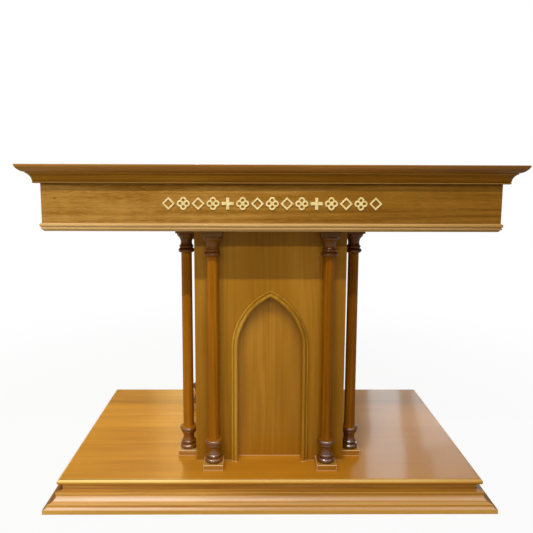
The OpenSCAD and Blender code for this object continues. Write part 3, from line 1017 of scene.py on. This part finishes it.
def make_table():
    woods = {name: varnished_wood(name, wood) for name, wood in WOODS.items()}
    make_boards(woods)
    make_trims(woods["trim_wood"])
    make_columns(woods["column_wood"])
    tree = repeat_tree()
    abaci = repeat_node(tree, "abaci", BOARD_EASE, woods["abacus_wood"])
    lay_grain(abaci, "XZY", len(frame["nodes"]))
    dress(abaci, woods["abacus_wood"], "abaci")
    gold = mottled_surface("gilding")
    for node in GILT_ROW:
        dress(repeat_node(tree, node, GILT_EASE, gold), gold, node)
    bare = mottled_surface("carcass_softwood")
    for node in CARCASS:
        frame["nodes"][node].material_slots[0].material = bare
    frame["nodes"]["wood_screws"].material_slots[0].material = mottled_surface("zinc_steel")


# Studio

# The photograph's camera, in pixels, millimetres, metres and radians
PHOTO_PX = 533
FOCAL_PX = 524.9
LENS_AXIS_PX = (258.4, 240.9)
SENSOR_MM = 36.0
CAMERA_PLACE = Vector((-0.0458, -1.6922, 0.9156))
CAMERA_YAW = 0.0074
CAMERA_PITCH = 0.1184
CAMERA_ROLL = 0.0031

# World: strengths of light, and directions between which its parts fade into each other
WHITE = (1.0, 1.0, 1.0, 1.0)
AMBIENT = 0.25
AMBIENT_SLOPE = 0.10
BACKDROP = 1.0
BACKDROP_SIDE = (0.1, 0.7)
BACKDROP_TOP = (0.1, 0.3)
ROOM_GLOSS = 0.1
CEILING_GLOSS = 2.0
CEILING_EDGE = (0.35, 0.75)
CEILING_BACK = (-0.2, 0.2)

# Floor: its colour, how far it is clear and where it has faded, and its share of the backdrop's white
FLOOR_HALF = 9.0
FLOOR_COLOUR = (205, 205, 205)
FLOOR_CLEAR = 0.9
FLOOR_FADE = 2.4
FLOOR_LIFT = 0.93


class Tube(NamedTuple):
    """A tube lamp's elevation in degrees and its watts."""

    elevation: float
    watts: float


TUBE_FOCUS = Vector((-0.45, -0.33, 0.777))
TUBE_DISTANCE = 2.6
TUBE_SIZE = (2.6, 0.06)
TUBES = {"low_tube": Tube(27, 24), "high_tube": Tube(54.5, 62)}


class Pane(NamedTuple):
    """A pane of a window: its middle, heights and width in metres, watts, colour, and lean in degrees."""

    x: float
    low: float
    high: float
    width: float
    watts: float
    colour: tuple
    lean: float


PANE_Y = 2.6
PANE_LOW = 0.9
PANE_BAR = 1.51
PANE_HIGH = 2.0
PANES = {
    "near_lower_pane": Pane(1.0715, PANE_LOW, PANE_BAR, 0.263, 3.5, (0.76, 0.93, 1.04), 4.5),
    "near_upper_pane": Pane(1.105, PANE_BAR, PANE_HIGH, 0.34, 4.0, (0.76, 0.94, 1.06), 3),
    "far_lower_pane": Pane(1.655, PANE_LOW, PANE_BAR, 0.62, 6.4, (0.80, 0.94, 1.03), 14),
    "far_upper_pane": Pane(1.84, PANE_BAR, PANE_HIGH, 0.62, 3.5, (0.66, 0.88, 1.02), 14),
}

# Strips of a warm window on the left, with the watts of the brightest
STRIPS = 6
STRIPS_LEFT = -0.915
STRIP_W = 0.048
STRIP_WATTS = 1.3
STRIP_COLOUR = (1.0, 0.74, 0.28)
STRIP_LEAN = 2.5

# A warm lamp over the left of the deck, from behind
DECK_LEFT = Vector((-0.4, 0.1, 0.08))
BACK_LAMP_PLACE = DECK_LEFT + Vector((-0.15, 0.8, 1.2))
BACK_LAMP_SIZE = (0.8, 0.8)
BACK_LAMP_WATTS = 6
BACK_LAMP_COLOUR = (1.0, 0.85, 0.6)


def make_camera():
    data = bpy.data.cameras.new("photo_camera")
    data.sensor_width = SENSOR_MM
    data.lens = FOCAL_PX * SENSOR_MM / PHOTO_PX
    data.shift_x = (PHOTO_PX / 2 - LENS_AXIS_PX[0]) / PHOTO_PX
    data.shift_y = (LENS_AXIS_PX[1] - PHOTO_PX / 2) / PHOTO_PX
    camera = link_new("photo_camera", data)
    turn = Matrix.Rotation(-CAMERA_YAW, 4, "Z")
    tilt = Matrix.Rotation(math.pi / 2 - CAMERA_PITCH, 4, "X")
    roll = Matrix.Rotation(CAMERA_ROLL, 4, "Z")
    camera.matrix_world = Matrix.Translation(CAMERA_PLACE) @ turn @ tilt @ roll
    bpy.context.scene.camera = camera


def make_lamp(name, place, aim, size, watts, colour, lean=0.0):
    """A lamp of the given width and height at a place, turned towards another and leaning sideways."""
    data = bpy.data.lights.new(name, "AREA")
    data.shape = "RECTANGLE"
    data.size, data.size_y = size
    data.energy = watts
    data.color = colour
    lamp = link_new(name, data)
    lamp.location = place
    turn = (place - aim).to_track_quat("Z", "Y") @ Quaternion((0.0, 0.0, 1.0), lean)
    lamp.rotation_euler = turn.to_euler()
    lamp.visible_camera = False


def make_tube(name, tube):
    """A long tube lamp across the front, at an angle above the table's front edge."""
    up_by = math.radians(tube.elevation)
    place = TUBE_FOCUS + Vector((0.0, -math.cos(up_by), math.sin(up_by))) * TUBE_DISTANCE
    make_lamp(name, place, TUBE_FOCUS, TUBE_SIZE, tube.watts, WHITE[:3])


def make_pane(name, pane):
    """A pane of a window behind the table, which the polished deck reflects."""
    place = Vector((pane.x, PANE_Y, (pane.low + pane.high) / 2))
    aim = Vector((pane.x, 0.0, place.z))
    size = (pane.width, pane.high - pane.low)
    make_lamp(name, place, aim, size, pane.watts, pane.colour, math.radians(pane.lean))


def make_strips():
    """Strips of the warm window, each brighter than the one on its left."""
    for i in range(STRIPS):
        x = STRIPS_LEFT + (i + 0.5) * STRIP_W
        watts = STRIP_WATTS * (i + 1) / STRIPS
        strip = Pane(x, PANE_LOW, PANE_HIGH, STRIP_W, watts, STRIP_COLOUR, STRIP_LEAN)
        make_pane(f"warm_strip_{i}", strip)


def seen_directly(bench):
    """1 for rays from the camera, from gloss and through glass, and 0 for the light that falls on things."""
    total = bench.ray("Is Camera Ray") + bench.ray("Is Glossy Ray") + bench.ray("Is Transmission Ray")
    return total.math("MINIMUM", 1.0)


def make_world():
    """White all round for the camera, a dim room with a bright ceiling in gloss, and even light."""
    world = bpy.data.worlds.new("studio")
    world.use_nodes = True
    world.node_tree.nodes.clear()
    bench = Bench(world.node_tree)
    way = bench.add("ShaderNodeTexCoord", out="Generated")
    behind = bench.axis(way, "Y").rise(*BACKDROP_SIDE) * (1 - bench.axis(way, "Z").rise(*BACKDROP_TOP))
    seen = bench.ray("Is Camera Ray").math("MAXIMUM", behind)
    even = AMBIENT - bench.axis(way, "X") * AMBIENT_SLOPE
    light = bench.add("ShaderNodeBackground", None, {"Color": WHITE, "Strength": even})
    above = bench.axis(way, "Z").rise(*CEILING_EDGE) * (1 - bench.axis(way, "Y").rise(*CEILING_BACK))
    gloss = above * CEILING_GLOSS + ROOM_GLOSS
    room = bench.add("ShaderNodeBackground", None, {"Color": WHITE, "Strength": gloss})
    backdrop = bench.add("ShaderNodeBackground", None, {"Color": WHITE, "Strength": BACKDROP})
    shown = bench.add("ShaderNodeMixShader", None, {0: seen, 1: room, 2: backdrop})
    both = bench.add("ShaderNodeMixShader", None, {0: seen_directly(bench), 1: light, 2: shown})
    bench.add("ShaderNodeOutputWorld", None, {"Surface": both})
    bpy.context.scene.world = world


def make_floor():
    """A pale floor that keeps the shadow near the table and fades into the backdrop further out."""
    mesh = bpy.data.meshes.new("floor")
    corners = [(-1, -1), (1, -1), (1, 1), (-1, 1)]
    mesh.from_pydata([(x * FLOOR_HALF, y * FLOOR_HALF, 0.0) for x, y in corners], [], [(0, 1, 2, 3)])
    floor = link_new("floor", mesh)
    material = bpy.data.materials.new("pale_floor")
    material.use_nodes = True
    material.node_tree.nodes.clear()
    bench = Bench(material.node_tree)
    out = bench.add("ShaderNodeVectorMath", {"operation": "LENGTH"}, {0: bench.place()}, out="Value")
    pale = bench.add("ShaderNodeBsdfDiffuse", None, {"Color": srgb(*FLOOR_COLOUR)})
    backdrop = bench.add("ShaderNodeEmission", None, {"Strength": BACKDROP})
    fade = out.rise(FLOOR_CLEAR, FLOOR_FADE)
    lift = bench.ray("Is Camera Ray") * FLOOR_LIFT
    share = (lift + fade * (1 - lift)) * seen_directly(bench)
    both = bench.add("ShaderNodeMixShader", None, {0: share, 1: pale, 2: backdrop})
    bench.add("ShaderNodeOutputMaterial", None, {"Surface": both})
    mesh.materials.append(material)


def make_studio():
    make_world()
    make_floor()
    for name, tube in TUBES.items():
        make_tube(name, tube)
    make_strips()
    for name, pane in PANES.items():
        make_pane(name, pane)
    make_lamp(
        "warm_back_lamp", BACK_LAMP_PLACE, DECK_LEFT, BACK_LAMP_SIZE, BACK_LAMP_WATTS, BACK_LAMP_COLOUR
    )
    bpy.context.scene.view_settings.view_transform = "Standard"


make_camera()
make_table()
make_studio()
